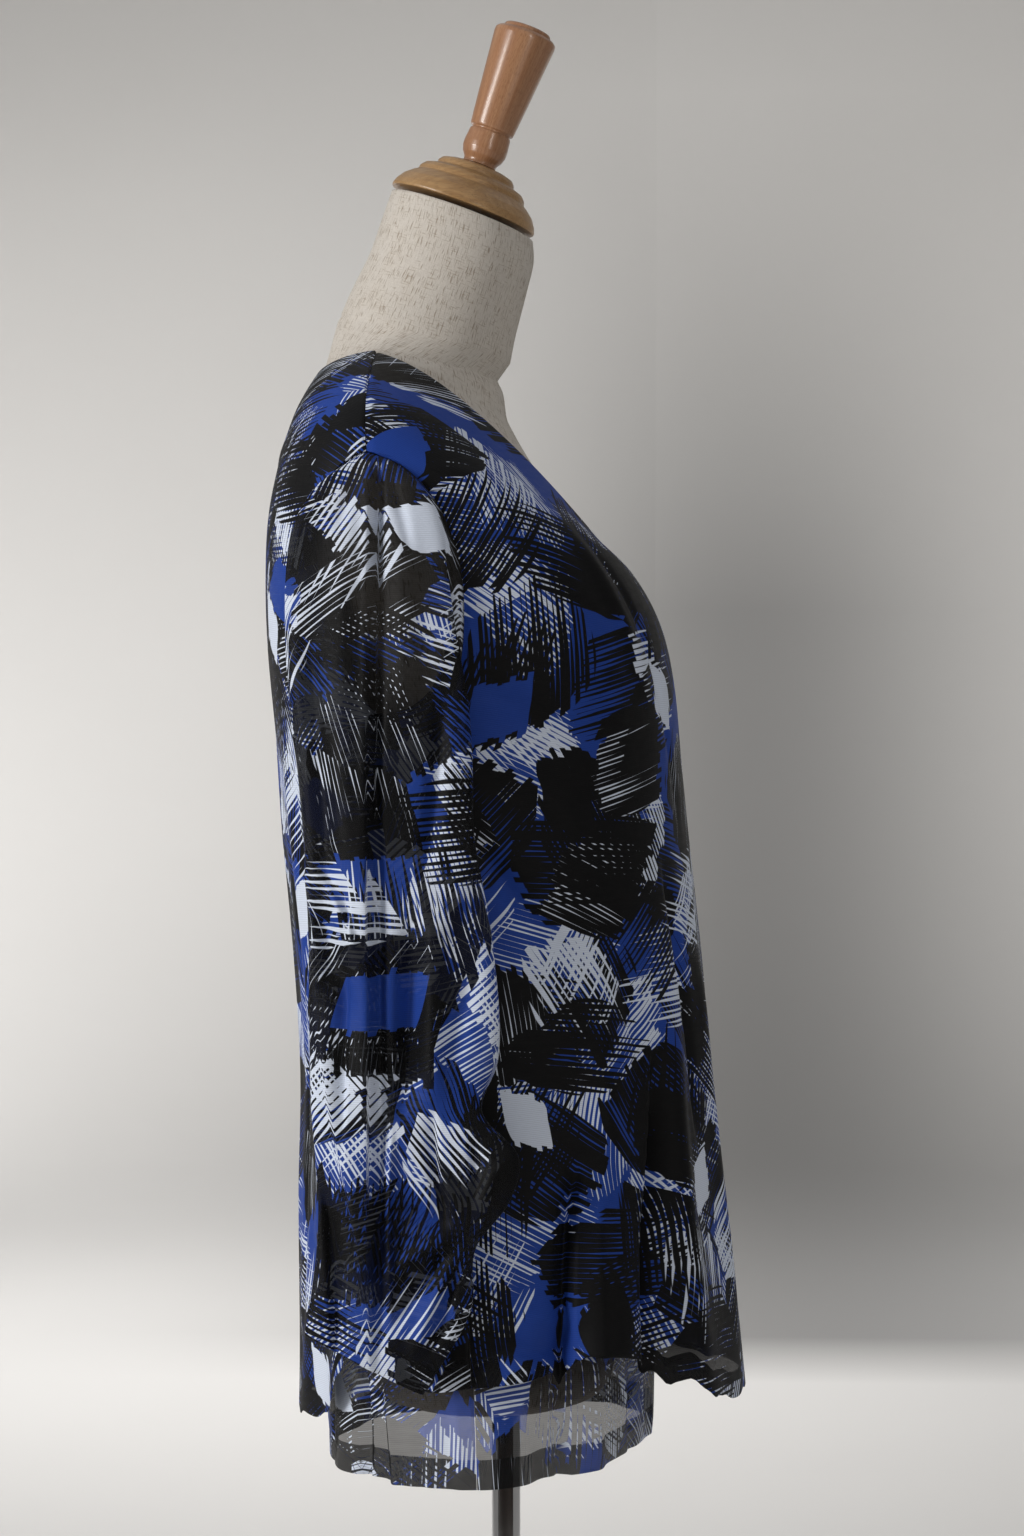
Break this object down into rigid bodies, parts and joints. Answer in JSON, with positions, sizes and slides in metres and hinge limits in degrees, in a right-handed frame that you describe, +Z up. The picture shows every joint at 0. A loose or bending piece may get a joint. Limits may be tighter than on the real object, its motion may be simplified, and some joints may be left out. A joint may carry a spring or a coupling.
{
  "type": "blouse on dress form",
  "caption": "Loose layered blouse with long sleeves and a rounded V neck, worn on a limbless linen dress form with a wooden neck cap and finial on a chrome pole and round base.",
  "frame": {"origin": "centre of the base's flat underside, on the floor under the pole's axis", "axes": "+Z up along the pole, -Y towards the front of the garment, +X towards its wearer's left side"},
  "size_m": [0.4411, 0.3447, 1.5973],
  "materials": {
    "printed_mesh": "sheer printed knit mesh",
    "underlayer_mesh": "sheer printed knit mesh",
    "linen": "woven linen with slubs",
    "oak": "satin varnish",
    "beech": "gloss varnish",
    "chrome": "polished",
    "base_steel": "polished"
  },
  "bodies": {
    "root": {"outer_front": "printed_mesh", "outer_back": "printed_mesh", "sleeve_right": "printed_mesh", "sleeve_left": "printed_mesh", "under_front": "underlayer_mesh", "under_back": "underlayer_mesh", "form_body": "linen", "neck_cap": "oak", "finial": "beech", "pole": "chrome", "base": "base_steel"}
  },
  "joints": []
}
